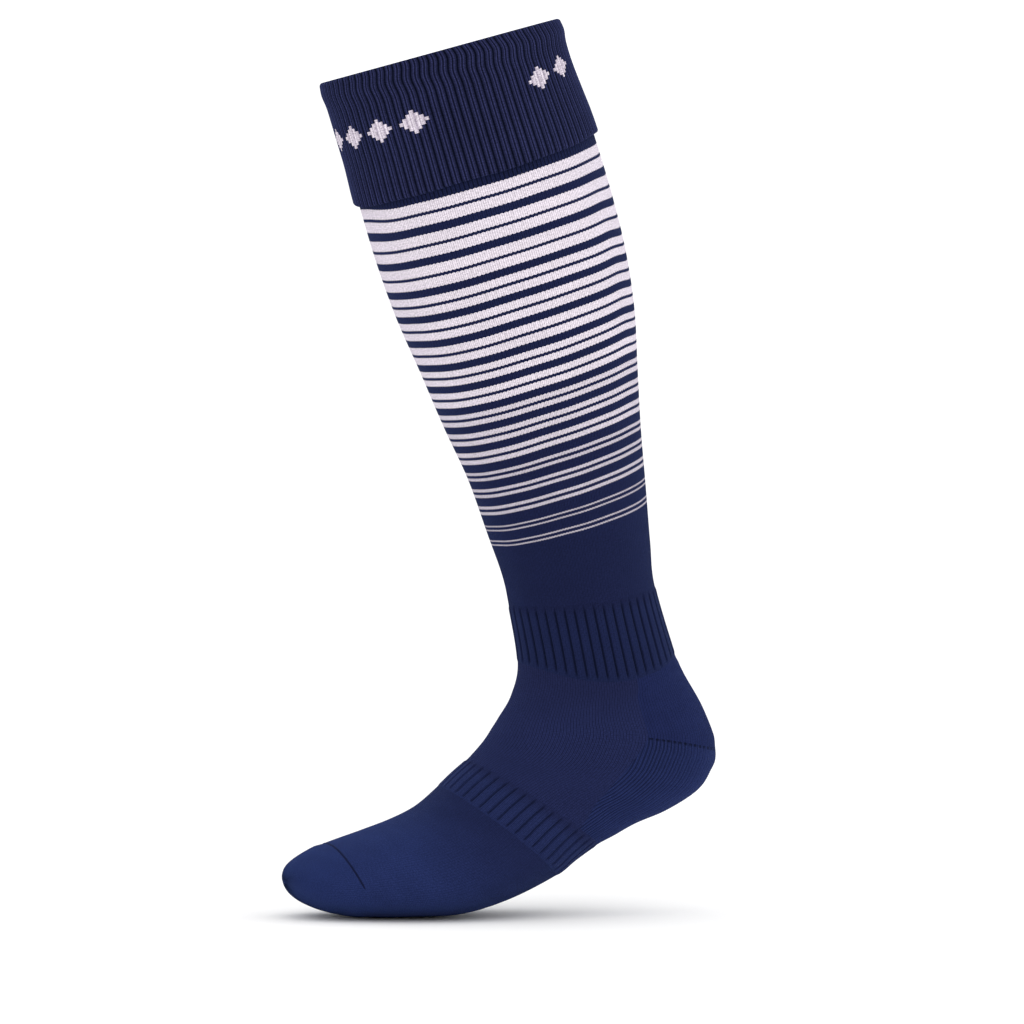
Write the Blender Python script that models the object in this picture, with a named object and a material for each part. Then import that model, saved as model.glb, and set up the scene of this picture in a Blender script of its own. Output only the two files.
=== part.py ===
# A knee-high knitted sports sock, in the form that a leg gives it in mid-stride.
# Metres, +Z up. The toe points to -X, the outer side of the foot faces -Y.
# The origin is the middle of the open top. The sock is modelled upright, with the sole
# level and the leg straight up, and an empty then leans it forward.
import math

import bmesh
import bpy
from mathutils import Matrix, Vector

# Sizes that can be set by themselves
LEG_LENGTH = 0.310  # from the top of the ankle band up to the fold of the cuff
CALF_WIDTH = 0.132  # front to back, under the cuff
CALF_DEPTH = 0.132  # side to side, under the cuff
CALF_SET_BACK = 0.012  # how far the middle of the calf stands behind the ankle's
ANKLE_WIDTH = 0.0790
ANKLE_DEPTH = 0.060
ANKLE_FORWARD = 0.0445  # middle of the ankle, from the back of the heel
ANKLE_HEIGHT = 0.111  # middle of the ankle band's lower edge, above the sole
ANKLE_BAND_LENGTH = 0.0315
FOOT_LENGTH = 0.2465
HEEL_BREADTH = 0.067
BALL_BREADTH = 0.092
LEAN = math.radians(17.15)  # of the leg, forward from upright

# Fabric. It lies on the outside of the form that the sections give.
LEG_WALL = 0.0016
RIB_WALL = 0.0020
TERRY_WALL = 0.0024
CUFF_WALL = 0.0015
CUFF_DROP = 0.068  # length of the turned-down layer
CUFF_TUCK = 0.052  # length of the layer inside it
CUFF_EASE = 0.0004  # air between the two layers
RIB_COUNT = 42  # ribs round the ankle and the arch
RIB_HEIGHT = 0.0007
RIB_RIDGE = 0.62  # share of a rib's pitch that is ridge, the rest is groove
CUFF_RIB_COUNT = 84
CUFF_RIB_HEIGHT = 0.0005
SEAM_WIDTH = 0.0018
SEAM_HEIGHT = 0.0014
SEAM_SUNK = 0.0005  # middle of the seam below the face of the fabric
SEAM_REACH = math.radians(96)  # how far the seam runs down each side of the toes
SEAM_TAPER = math.radians(9)  # over which the gap for the seam closes past its ends
NOSE_REACH = 0.22  # last ring of the toe cap before its tip, in sections
GAP = 0.0003  # between neighbouring sections
RIB_FADE = 1 / 6  # share of a band's length over which its grooves fade out at each end
LEG_BORDER = 0.585  # border of the leg's sections, where nothing ends

# Facets
PLAIN_SIDES = 40
CUFF_SIDES = 42
INSTEP_SIDES = 20
UNDER_SIDES = 16
SEAM_STEPS = 24
SEAM_SIDES = 6
STEP = 0.01  # of a section, used to read a tangent

# Sections of the leg, from the fold down. along: share of LEG_LENGTH above the ankle band.
# swell: 0 at the ankle's size, 1 at the calf's. back: share of CALF_SET_BACK.
# slope: rise of the front over the back, share of the width. droop: fall of both sides, share
# of ANKLE_WIDTH. cant: rise of the outer side, share of CALF_DEPTH.
LEG_SECTIONS = (
    # name, along, swell, back, slope, droop, cant
    ("fold", 1.000, 0.985, 1.00, 0.045, 0.00, 0.040),
    ("hem", 0.786, 0.985, 1.00, 0.00, 0.00, 0.012),
    ("calf", 0.680, 0.990, 1.00, 0.00, 0.00, 0.000),
    ("calf_low", 0.570, 0.930, 1.01, 0.00, 0.00, 0.000),
    ("shin_high", 0.4635, 0.770, 0.99, 0.00, 0.00, 0.000),
    ("shin", 0.360, 0.560, 0.82, 0.00, 0.00, 0.000),
    ("shin_low", 0.257, 0.335, 0.69, 0.00, 0.00, 0.000),
    ("plain", 0.1535, 0.180, 0.47, 0.01, 0.00, 0.000),
    ("plain_low", 0.067, 0.045, 0.25, 0.09, 0.01, 0.000),
    ("band_top", 0.000, 0.000, 0.00, 0.18, 0.03, 0.000),
)

# Sections of the foot, from the ankle band to the tip. They fan round the heel. front and back
# are the points on the instep and on the heel or sole: x as a share of FOOT_LENGTH forward of
# the heel, z as a share of ANKLE_HEIGHT above the sole. broad: share of the breadth named in
# of. inward: shift to the inner side, share of BALL_BREADTH. square: 1 is an ellipse, less is
# squarer. low: how far the widest place lies towards the sole. droop: share of ANKLE_WIDTH.
# border: where the instep ends and the heel or sole begins, share of the half round.
FOOT_SECTIONS = (
    # name, front x, z, back x, z, broad, of, inward, square, low, droop, border
    ("band_end", 0.3565, 1.060, 0.0236, 0.868, 0.91, "heel", 0.000, 1.00, 0.00, 0.15, 0.585),
    ("heel_high", 0.394, 0.910, 0.0195, 0.760, 0.93, "heel", 0.000, 1.00, 0.00, 0.10, 0.585),
    ("heel_back", 0.438, 0.820, -0.001, 0.555, 0.96, "heel", 0.000, 1.00, 0.00, 0.01, 0.587),
    ("gore", 0.4625, 0.7745, -0.005, 0.350, 0.99, "heel", 0.000, 1.00, 0.00, -0.07, 0.590),
    ("heel_round", 0.4735, 0.7545, 0.024, 0.255, 1.00, "heel", 0.000, 1.00, 0.00, -0.05, 0.573),
    ("heel_low", 0.4865, 0.7325, 0.064, 0.192, 1.01, "heel", 0.000, 0.97, 0.00, -0.02, 0.558),
    ("sole_back", 0.503, 0.709, 0.142, 0.152, 1.03, "heel", 0.000, 0.95, 0.05, 0.00, 0.562),
    ("sole", 0.517, 0.690, 0.227, 0.138, 1.05, "heel", 0.000, 0.93, 0.10, 0.00, 0.595),
    ("arch_top", 0.534, 0.669, 0.320, 0.095, 0.79, "ball", 0.000, 0.92, 0.15, 0.00, 0.650),
    ("arch", 0.573, 0.632, 0.378, 0.060, 0.83, "ball", 0.000, 0.90, 0.20, 0.00, 0.650),
    ("arch_end", 0.614, 0.588, 0.436, 0.018, 0.87, "ball", 0.000, 0.88, 0.25, 0.00, 0.650),
    ("ball_back", 0.672, 0.531, 0.552, -0.014, 0.97, "ball", 0.005, 0.86, 0.32, 0.00, 0.650),
    ("ball", 0.732, 0.506, 0.664, -0.008, 1.00, "ball", 0.020, 0.85, 0.35, 0.00, 0.650),
    ("toes_back", 0.807, 0.495, 0.766, 0.050, 0.94, "ball", 0.050, 0.84, 0.35, 0.00, 0.650),
    ("seam", 0.891, 0.487, 0.856, 0.113, 0.80, "ball", 0.085, 0.82, 0.30, 0.00, 0.650),
    ("toes", 0.942, 0.468, 0.925, 0.185, 0.65, "ball", 0.110, 0.82, 0.22, 0.00, 0.650),
    ("toes_front", 0.9755, 0.445, 0.966, 0.250, 0.50, "ball", 0.120, 0.84, 0.12, 0.00, 0.650),
    ("nose", 0.9905, 0.420, 0.991, 0.315, 0.31, "ball", 0.125, 0.90, 0.05, 0.00, 0.650),
    ("tip", 1.0000, 0.385, 1.000, 0.385, 0.00, "ball", 0.125, 1.00, 0.00, 0.00, 0.650),
)


def leg_section(along, swell, back, slope, droop, cant):
    width = ANKLE_WIDTH + swell * (CALF_WIDTH - ANKLE_WIDTH)
    depth = ANKLE_DEPTH + swell * (CALF_DEPTH - ANKLE_DEPTH)
    middle = ANKLE_FORWARD - back * CALF_SET_BACK
    height = ANKLE_HEIGHT + ANKLE_BAND_LENGTH + along * LEG_LENGTH
    reach = width * math.sqrt(1 - slope * slope) / 2
    rise = width * slope / 2
    return (
        middle + reach, height + rise, middle - reach, height - rise, depth / 2,
        0.0, 1.0, 0.0, droop * ANKLE_WIDTH, cant * CALF_DEPTH, LEG_BORDER,
    )


def foot_section(front_x, front_z, back_x, back_z, broad, of, inward, square, low, droop, border):
    breadth = {"heel": HEEL_BREADTH, "ball": BALL_BREADTH}[of]
    return (
        front_x * FOOT_LENGTH, front_z * ANKLE_HEIGHT,
        back_x * FOOT_LENGTH, back_z * ANKLE_HEIGHT, broad * breadth / 2,
        inward * BALL_BREADTH, square, low, droop * ANKLE_WIDTH, 0.0, border,
    )


NAMES = [row[0] for row in LEG_SECTIONS + FOOT_SECTIONS]
SECTIONS = [leg_section(*row[1:]) for row in LEG_SECTIONS]
SECTIONS += [foot_section(*row[1:]) for row in FOOT_SECTIONS]


def station(name):
    return float(NAMES.index(name))


def section(place):
    """The section's values at a place between the tables' rows, on a smooth curve."""
    last = len(SECTIONS) - 1
    first = min(int(place), last - 1)
    t = place - first
    rows = [SECTIONS[min(max(first + k, 0), last)] for k in (-1, 0, 1, 2)]
    weights = (
        (-t + 2 * t * t - t * t * t) / 2,
        (2 - 5 * t * t + 3 * t * t * t) / 2,
        (t + 4 * t * t - 3 * t * t * t) / 2,
        (-t * t + t * t * t) / 2,
    )
    return [sum(w * v for w, v in zip(weights, column)) for column in zip(*rows)]


def skin(place, turn):
    """A point of the form. turn is 0 on the front, 180 degrees on the heel or sole."""
    front_x, front_z, back_x, back_z, half, shift, square, low, droop, cant, _ = section(place)
    side = math.sin(turn)
    across = (1 - math.cos(turn)) / 2
    across += low * across * (1 - across)
    forward = front_x + (back_x - front_x) * across
    height = front_z + (back_z - front_z) * across
    height += cant * side - droop * side * side
    return Vector((-forward, shift - half * math.copysign(abs(side) ** square, side), height))


def outward(place, turn):
    place = min(place, len(SECTIONS) - 1 - 2 * STEP)
    along = skin(place + STEP, turn) - skin(max(place - STEP, 0), turn)
    round_it = skin(place, turn + STEP) - skin(place, turn - STEP)
    return along.cross(round_it).normalized()


def off_skin(place, turn, rise):
    return skin(place, turn) + outward(place, turn) * rise


def shift_along(place, turn, length):
    """The place that lies length further down the sock than place."""
    metres = (skin(place + STEP, turn) - skin(place - STEP, turn)).length / (2 * STEP)
    return place + length / metres


def shift_round(place, turn, length):
    metres = (skin(place, turn + STEP) - skin(place, turn - STEP)).length / (2 * STEP)
    return turn + length / metres


def border(place):
    return section(place)[-1] * math.pi


def full_round(count):
    return [math.tau * k / count for k in range(count)]


def rib_turns():
    """Three turns a rib: both edges of the ridge and the bottom of the groove."""
    marks = (0.0, RIB_RIDGE, (1 + RIB_RIDGE) / 2)
    return [math.tau * (k + mark) / RIB_COUNT for k in range(RIB_COUNT) for mark in marks]


class Shell:
    """A wall built from rings of points and closed into one solid."""

    def __init__(self, name, colour, roughness):
        self.name = name
        self.colour = colour
        self.roughness = roughness
        self.points = []
        self.faces = []

    def ring(self, points):
        start = len(self.points)
        self.points += points
        return list(range(start, start + len(points)))

    def strip(self, a, b, closed=True):
        """Faces between two rings. a has as many points as b, or a whole multiple of them."""
        ratio = (len(a) if closed else len(a) - 1) // (len(b) if closed else len(b) - 1)
        spans = len(b) if closed else len(b) - 1
        for k in range(spans):
            low, high = b[k], b[(k + 1) % len(b)]
            fine = [a[(k * ratio + m) % len(a)] for m in range(ratio + 1)]
            if ratio == 1:
                self.faces.append((fine[0], fine[1], high, low))
                continue
            middle = (ratio + 1) // 2
            for m in range(ratio):
                self.faces.append((fine[m], fine[m + 1], low if m < middle else high))
            self.faces.append((fine[middle], high, low))

    def fan(self, ring, apex):
        for k in range(len(ring)):
            self.faces.append((ring[k], ring[(k + 1) % len(ring)], apex))

    def build(self, parent):
        mesh = bpy.data.meshes.new(self.name)
        mesh.from_pydata([tuple(p) for p in self.points], [], self.faces)
        work = bmesh.new()
        work.from_mesh(mesh)
        bmesh.ops.recalc_face_normals(work, faces=work.faces)
        work.to_mesh(mesh)
        work.free()
        material = bpy.data.materials.new(self.name)
        material.use_nodes = True
        shader = material.node_tree.nodes["Principled BSDF"]
        shader.inputs["Base Color"].default_value = (*self.colour, 1.0)
        shader.inputs["Roughness"].default_value = self.roughness
        shader.inputs["Metallic"].default_value = 0.0
        mesh.materials.append(material)
        mesh.shade_smooth()
        mesh.set_sharp_from_angle(angle=math.radians(40))
        piece = bpy.data.objects.new(self.name, mesh)
        piece.parent = parent
        bpy.context.collection.objects.link(piece)
        return piece


def blend(a, b, share):
    return a + (b - a) * share


def spread(first, last, spans):
    """Evenly spread places from one named section to another."""
    return [blend(station(first), station(last), k / spans) for k in range(spans + 1)]


def edge(place, margin):
    """An edge across the sock, moved down the sock by margin."""
    return lambda turn: shift_along(place, turn, margin)


HEEL_PLACES = spread("band_end", "gore", 6)
SOLE_PLACES = spread("gore", "arch_top", 9)


def smooth(share):
    share = min(max(share, 0.0), 1.0)
    return share * share * (3 - 2 * share)


def rib_rise(index, share):
    """Relief of a ribbed skin: grooves fade out at both ends of the band."""
    groove = index % 3 == 2
    return -RIB_HEIGHT * smooth(min(share, 1 - share) / RIB_FADE) if groove else 0.0


def tube(shell, start, end, wall, spans, lining_spans, turns, lining_turns, rise=None):
    """A section that goes all the way round, between two edges."""
    rings = []
    for j in range(spans + 1):
        share = j / spans
        points = []
        for index, turn in enumerate(turns):
            place = blend(start(turn), end(turn), share)
            points.append(off_skin(place, turn, wall + (rise(index, share) if rise else 0.0)))
        rings.append(shell.ring(points))
    lining = []
    for j in range(lining_spans + 1):
        share = j / lining_spans
        points = [skin(blend(start(t), end(t), share), t) for t in lining_turns]
        lining.append(shell.ring(points))
    for a, b in zip(rings, rings[1:]):
        shell.strip(a, b)
    for a, b in zip(lining, lining[1:]):
        shell.strip(a, b)
    shell.strip(rings[0], lining[0])
    shell.strip(rings[-1], lining[-1])


def patch(shell, places, wall, sides, from_turn, to_turn):
    """A section that goes part of the way round, from one turn to another."""
    margins = [0.0] * len(places)
    margins[0] = GAP / 2
    margins[-1] = -GAP / 2
    layers = []
    for rise in (wall, 0.0):
        rows = []
        for place, margin in zip(places, margins):
            points = []
            for k in range(sides + 1):
                turn = blend(from_turn(place), to_turn(place), k / sides)
                points.append(off_skin(shift_along(place, turn, margin), turn, rise))
            rows.append(shell.ring(points))
        layers.append(rows)
    outer, lining = layers
    for rows in layers:
        for a, b in zip(rows, rows[1:]):
            shell.strip(a, b, closed=False)
    for end_row in (0, -1):
        shell.strip(outer[end_row], lining[end_row], closed=False)
    for column in (0, -1):
        out_line = [row[column] for row in outer]
        in_line = [row[column] for row in lining]
        shell.strip(out_line, in_line, closed=False)


def place_below_fold(drop):
    """The place on the leg that lies drop below the fold of the cuff."""
    height = ANKLE_HEIGHT + ANKLE_BAND_LENGTH + LEG_LENGTH - drop
    low, high = station("fold"), station("band_top")
    for _ in range(40):
        middle = (low + high) / 2
        values = section(middle)
        if (values[1] + values[3]) / 2 > height:
            low = middle
        else:
            high = middle
    return low


def turned_cuff():
    """The rib top as one folded wall: down the outside, over the fold, down the inside."""
    shell = Shell("turned_cuff", (0.012, 0.014, 0.048), 0.85)
    middle = CUFF_WALL + CUFF_EASE / 2
    bend = CUFF_WALL + CUFF_EASE / 2
    lap = CUFF_DROP - bend
    face = 2 * CUFF_WALL + CUFF_EASE
    outside = [(CUFF_DROP - lap * k / 4, face) for k in range(5)]
    fold = [
        (bend - bend * math.sin(math.pi * k / 5), middle + bend * math.cos(math.pi * k / 5))
        for k in range(1, 5)
    ]
    inside = [(blend(bend, CUFF_TUCK, k / 2), 0.0) for k in range(3)]
    pocket = [(CUFF_TUCK, CUFF_WALL), (CUFF_TUCK / 2, CUFF_WALL), (bend, CUFF_WALL)]
    crotch = [(CUFF_WALL, middle)]
    back = [(blend(bend, CUFF_DROP, k / 2), CUFF_WALL + CUFF_EASE) for k in range(3)]
    fine_turns = full_round(2 * CUFF_RIB_COUNT)
    plain_turns = full_round(CUFF_SIDES)
    outer_rings = []
    for number, (drop, rise) in enumerate(outside):
        relief = CUFF_RIB_HEIGHT if number < len(outside) - 1 else 0.0
        place = place_below_fold(drop)
        outer_rings.append(shell.ring([
            off_skin(place, turn, rise - relief * (index % 2))
            for index, turn in enumerate(fine_turns)
        ]))
    plain_rings = []
    for drop, rise in fold + inside + pocket + crotch + back:
        place = place_below_fold(drop)
        plain_rings.append(shell.ring([off_skin(place, turn, rise) for turn in plain_turns]))
    for a, b in zip(outer_rings, outer_rings[1:]):
        shell.strip(a, b)
    for a, b in zip(plain_rings, plain_rings[1:]):
        shell.strip(a, b)
    shell.strip(outer_rings[-1], plain_rings[0])
    shell.strip(outer_rings[0], plain_rings[-1])
    return shell


def leg():
    shell = Shell("leg", (0.30, 0.28, 0.34), 0.85)
    top = place_below_fold(CUFF_TUCK)
    turns = full_round(PLAIN_SIDES)
    start = edge(top, GAP)
    end = edge(station("band_top"), -GAP / 2)
    tube(shell, start, end, LEG_WALL, 15, 6, turns, turns)
    return shell


def ankle_band():
    shell = Shell("ankle_band", (0.011, 0.014, 0.050), 0.85)
    start = edge(station("band_top"), GAP / 2)
    end = edge(station("band_end"), -GAP / 2)
    tube(shell, start, end, RIB_WALL, 3, 2, rib_turns(), full_round(RIB_COUNT), rib_rise)
    return shell


def instep():
    shell = Shell("instep", (0.015, 0.018, 0.060), 0.85)

    def to_turn(place):
        turn = border(place)
        return shift_round(place, turn, -GAP / 2)

    places = HEEL_PLACES + SOLE_PLACES[1:]
    patch(shell, places, LEG_WALL, INSTEP_SIDES, lambda place: -to_turn(place), to_turn)
    return shell


def under_foot(name, places):
    """The heel and the sole: what the instep leaves of the half round behind."""
    shell = Shell(name, (0.015, 0.020, 0.068), 0.9)

    def from_turn(place):
        turn = border(place)
        return shift_round(place, turn, GAP / 2)

    patch(
        shell, places, TERRY_WALL, UNDER_SIDES,
        from_turn, lambda place: math.tau - from_turn(place),
    )
    return shell


def arch_band():
    shell = Shell("arch_band", (0.015, 0.019, 0.062), 0.85)
    start = edge(station("arch_top"), GAP / 2)
    end = edge(station("arch_end"), -GAP / 2)
    tube(shell, start, end, RIB_WALL, 3, 2, rib_turns(), full_round(RIB_COUNT), rib_rise)
    return shell


def seam_margin(turn):
    """Half the gap between forefoot and toe cap: wider where the seam lies in it."""
    away = abs((turn + math.pi) % math.tau - math.pi)
    share = smooth((SEAM_REACH + 2 * SEAM_TAPER - away) / SEAM_TAPER)
    return blend(GAP / 2, SEAM_WIDTH / 2 + GAP, share)


def forefoot():
    shell = Shell("forefoot", (0.017, 0.022, 0.080), 0.88)
    turns = full_round(PLAIN_SIDES)
    seam = station("seam")
    tube(
        shell, edge(station("arch_end"), GAP / 2),
        lambda turn: shift_along(seam, turn, -seam_margin(turn)),
        LEG_WALL, 6, 4, turns, turns,
    )
    return shell


def toe_cap():
    shell = Shell("toe_cap", (0.017, 0.022, 0.080), 0.9)
    turns = full_round(PLAIN_SIDES)
    seam = station("seam")
    last = len(SECTIONS) - 1
    layers = []
    nose = last - NOSE_REACH
    for rise, spans in ((TERRY_WALL, 6), (0.0, 4)):
        rings = []
        for j in range(spans + 1):
            points = []
            for turn in turns:
                start = shift_along(seam, turn, seam_margin(turn))
                points.append(off_skin(blend(start, nose, j / spans), turn, rise))
            rings.append(shell.ring(points))
        tip = skin(last, 0.0)
        apex = shell.ring([tip + Vector((-rise, 0, 0))])[0]
        for a, b in zip(rings, rings[1:]):
            shell.strip(a, b)
        shell.fan(rings[-1], apex)
        layers.append(rings)
    shell.strip(layers[0][0], layers[1][0])
    return shell


def toe_seam():
    """A flattened strand that lies in the gap between forefoot and toe cap."""
    shell = Shell("toe_seam", (0.013, 0.017, 0.062), 0.9)
    seam = station("seam")
    rings = []
    for k in range(SEAM_STEPS + 1):
        turn = blend(-SEAM_REACH, SEAM_REACH, k / SEAM_STEPS)
        middle = off_skin(seam, turn, LEG_WALL - SEAM_SUNK)
        out = outward(seam, turn)
        along = (skin(seam + STEP, turn) - skin(seam - STEP, turn)).normalized()
        rings.append(shell.ring([
            middle + out * (SEAM_HEIGHT / 2 * math.cos(a)) + along * (SEAM_WIDTH / 2 * math.sin(a))
            for a in full_round(SEAM_SIDES)
        ]))
    for a, b in zip(rings, rings[1:]):
        shell.strip(a, b)
    shell.faces += [tuple(rings[0]), tuple(rings[-1])]
    return shell


def main():
    for old in list(bpy.data.objects):
        bpy.data.objects.remove(old, do_unlink=True)
    frame = bpy.data.objects.new("last", None)
    bpy.context.collection.objects.link(frame)
    fold = section(station("fold"))
    mouth = Vector((-(fold[0] + fold[2]) / 2, 0.0, (fold[1] + fold[3]) / 2))
    frame.matrix_world = Matrix.Rotation(-LEAN, 4, "Y") @ Matrix.Translation(-mouth)
    shells = (
        turned_cuff(), leg(), ankle_band(), instep(),
        under_foot("heel", HEEL_PLACES), under_foot("sole", SOLE_PLACES),
        arch_band(), forefoot(), toe_cap(), toe_seam(),
    )
    for shell in shells:
        shell.build(frame)


main()
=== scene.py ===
import math

import bpy
import numpy as np
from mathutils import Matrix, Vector


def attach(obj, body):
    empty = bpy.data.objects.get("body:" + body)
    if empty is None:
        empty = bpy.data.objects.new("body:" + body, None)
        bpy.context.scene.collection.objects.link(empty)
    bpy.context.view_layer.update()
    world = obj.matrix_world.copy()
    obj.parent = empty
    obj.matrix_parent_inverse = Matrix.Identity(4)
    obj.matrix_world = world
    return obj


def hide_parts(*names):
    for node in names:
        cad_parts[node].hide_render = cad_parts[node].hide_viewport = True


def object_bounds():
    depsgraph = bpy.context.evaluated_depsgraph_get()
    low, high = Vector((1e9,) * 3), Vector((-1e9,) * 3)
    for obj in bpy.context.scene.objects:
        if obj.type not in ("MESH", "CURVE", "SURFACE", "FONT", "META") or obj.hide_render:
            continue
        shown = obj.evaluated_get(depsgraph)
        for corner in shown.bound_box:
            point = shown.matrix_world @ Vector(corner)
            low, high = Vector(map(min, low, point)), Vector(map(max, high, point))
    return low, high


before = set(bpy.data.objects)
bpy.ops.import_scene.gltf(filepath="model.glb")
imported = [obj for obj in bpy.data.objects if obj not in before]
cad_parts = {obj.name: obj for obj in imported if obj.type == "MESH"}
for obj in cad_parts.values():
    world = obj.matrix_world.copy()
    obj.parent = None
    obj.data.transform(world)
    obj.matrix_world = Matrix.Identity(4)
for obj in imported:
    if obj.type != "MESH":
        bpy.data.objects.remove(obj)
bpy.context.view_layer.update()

# Sizes of the foot and leg that the sock shows, in metres
form = {
    "legLength": 0.310, "calfWidth": 0.132, "calfDepth": 0.132, "calfSetBack": 0.012,
    "ankleWidth": 0.079, "ankleDepth": 0.060, "ankleForward": 0.0445, "ankleHeight": 0.111,
    "ankleBandLength": 0.0315, "footLength": 0.2465, "heelBreadth": 0.067, "ballBreadth": 0.092,
    "lean": math.radians(17.15),
    "legBorder": 0.585,  # share of half a turn; no piece ends there on the leg
}

# name, along, swell, back, slope, droop, cant
legRows = (
    ("fold", 1.000, 0.985, 1.00, 0.045, 0.00, 0.040),
    ("hem", 0.786, 0.985, 1.00, 0.00, 0.00, 0.012),
    ("calf", 0.680, 0.990, 1.00, 0.00, 0.00, 0.000),
    ("calfLow", 0.570, 0.930, 1.01, 0.00, 0.00, 0.000),
    ("shinHigh", 0.4635, 0.770, 0.99, 0.00, 0.00, 0.000),
    ("shin", 0.360, 0.560, 0.82, 0.00, 0.00, 0.000),
    ("shinLow", 0.257, 0.335, 0.69, 0.00, 0.00, 0.000),
    ("plain", 0.1535, 0.180, 0.47, 0.01, 0.00, 0.000),
    ("plainLow", 0.067, 0.045, 0.25, 0.09, 0.01, 0.000),
    ("bandTop", 0.000, 0.000, 0.00, 0.18, 0.03, 0.000),
)

# name, front x, z, back x, z, broad, of, inward, square, low, droop, border
footRows = (
    ("bandEnd", 0.3565, 1.060, 0.0236, 0.868, 0.91, "heelBreadth", 0.000, 1.00, 0.00, 0.15, 0.585),
    ("heelHigh", 0.394, 0.910, 0.0195, 0.760, 0.93, "heelBreadth", 0.000, 1.00, 0.00, 0.10, 0.585),
    ("heelBack", 0.438, 0.820, -0.001, 0.555, 0.96, "heelBreadth", 0.000, 1.00, 0.00, 0.01, 0.587),
    ("gore", 0.4625, 0.7745, -0.005, 0.350, 0.99, "heelBreadth", 0.000, 1.00, 0.00, -0.07, 0.590),
    ("heelRound", 0.4735, 0.7545, 0.024, 0.255, 1.00, "heelBreadth", 0.000, 1.00, 0.00, -0.05, 0.573),
    ("heelLow", 0.4865, 0.7325, 0.064, 0.192, 1.01, "heelBreadth", 0.000, 0.97, 0.00, -0.02, 0.558),
    ("soleBack", 0.503, 0.709, 0.142, 0.152, 1.03, "heelBreadth", 0.000, 0.95, 0.05, 0.00, 0.562),
    ("sole", 0.517, 0.690, 0.227, 0.138, 1.05, "heelBreadth", 0.000, 0.93, 0.10, 0.00, 0.595),
    ("archTop", 0.534, 0.669, 0.320, 0.095, 0.79, "ballBreadth", 0.000, 0.92, 0.15, 0.00, 0.650),
    ("arch", 0.573, 0.632, 0.378, 0.060, 0.83, "ballBreadth", 0.000, 0.90, 0.20, 0.00, 0.650),
    ("archEnd", 0.614, 0.588, 0.436, 0.018, 0.87, "ballBreadth", 0.000, 0.88, 0.25, 0.00, 0.650),
    ("ballBack", 0.672, 0.531, 0.552, -0.014, 0.97, "ballBreadth", 0.005, 0.86, 0.32, 0.00, 0.650),
    ("ball", 0.732, 0.506, 0.664, -0.008, 1.00, "ballBreadth", 0.020, 0.85, 0.35, 0.00, 0.650),
    ("toesBack", 0.807, 0.495, 0.766, 0.050, 0.94, "ballBreadth", 0.050, 0.84, 0.35, 0.00, 0.650),
    ("seam", 0.891, 0.487, 0.856, 0.113, 0.80, "ballBreadth", 0.085, 0.82, 0.30, 0.00, 0.650),
    ("toes", 0.942, 0.468, 0.925, 0.185, 0.65, "ballBreadth", 0.110, 0.82, 0.22, 0.00, 0.650),
    ("toesFront", 0.9755, 0.445, 0.966, 0.250, 0.50, "ballBreadth", 0.120, 0.84, 0.12, 0.00, 0.650),
    ("nose", 0.9905, 0.420, 0.991, 0.315, 0.31, "ballBreadth", 0.125, 0.90, 0.05, 0.00, 0.650),
    ("tip", 1.0000, 0.385, 1.000, 0.385, 0.00, "ballBreadth", 0.125, 1.00, 0.00, 0.00, 0.650),
)

# Knit: one gauge all over, so stitch sizes follow from the counts
knit = {
    "wales": 168,  # stitches round the sock
    "course": 0.0008584,  # height of one row of stitches, metres
    "gap": 0.0003,  # between two pieces
}

# Left, bottom, width and height of a grid's part of the bake map
bakeParts = {"outer": (0, 0.2, 1, 0.8), "lining": (0, 0, 1, 0.18), "whole": (0, 0, 1, 1)}


def legSection(along, swell, back, slope, droop, cant):
    width = form["ankleWidth"] + swell * (form["calfWidth"] - form["ankleWidth"])
    depth = form["ankleDepth"] + swell * (form["calfDepth"] - form["ankleDepth"])
    middle = form["ankleForward"] - back * form["calfSetBack"]
    height = form["ankleHeight"] + form["ankleBandLength"] + along * form["legLength"]
    reach = width * math.sqrt(1 - slope * slope) / 2
    rise = width * slope / 2
    return (
        middle + reach, height + rise, middle - reach, height - rise, depth / 2,
        0.0, 1.0, 0.0, droop * form["ankleWidth"], cant * form["calfDepth"], form["legBorder"],
    )


def footSection(frontX, frontZ, backX, backZ, broad, of, inward, square, low, droop, border):
    return (
        frontX * form["footLength"], frontZ * form["ankleHeight"],
        backX * form["footLength"], backZ * form["ankleHeight"], broad * form[of] / 2,
        inward * form["ballBreadth"], square, low, droop * form["ankleWidth"], 0.0, border,
    )


rowNames = [row[0] for row in legRows + footRows]
sections = np.array(
    [legSection(*row[1:]) for row in legRows] + [footSection(*row[1:]) for row in footRows]
)
lastPlace = len(sections) - 1
step = 0.01  # of a section, to read a tangent
mouth = (-(sections[0][0] + sections[0][2]) / 2, (sections[0][1] + sections[0][3]) / 2)


def station(name):
    return float(rowNames.index(name))


# The sections between the rows follow a smooth curve through them
def sectionAt(place):
    place = np.asarray(place, float)
    first = np.clip(np.floor(place).astype(int), 0, lastPlace - 1)
    t = (place - first)[..., None]
    weights = (
        (-t + 2 * t**2 - t**3) / 2, (2 - 5 * t**2 + 3 * t**3) / 2,
        (t + 4 * t**2 - 3 * t**3) / 2, (-(t**2) + t**3) / 2,
    )
    near = [sections[np.clip(first + k, 0, lastPlace)] for k in (-1, 0, 1, 2)]
    return np.moveaxis(sum(w * values for w, values in zip(weights, near)), -1, 0)


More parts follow.
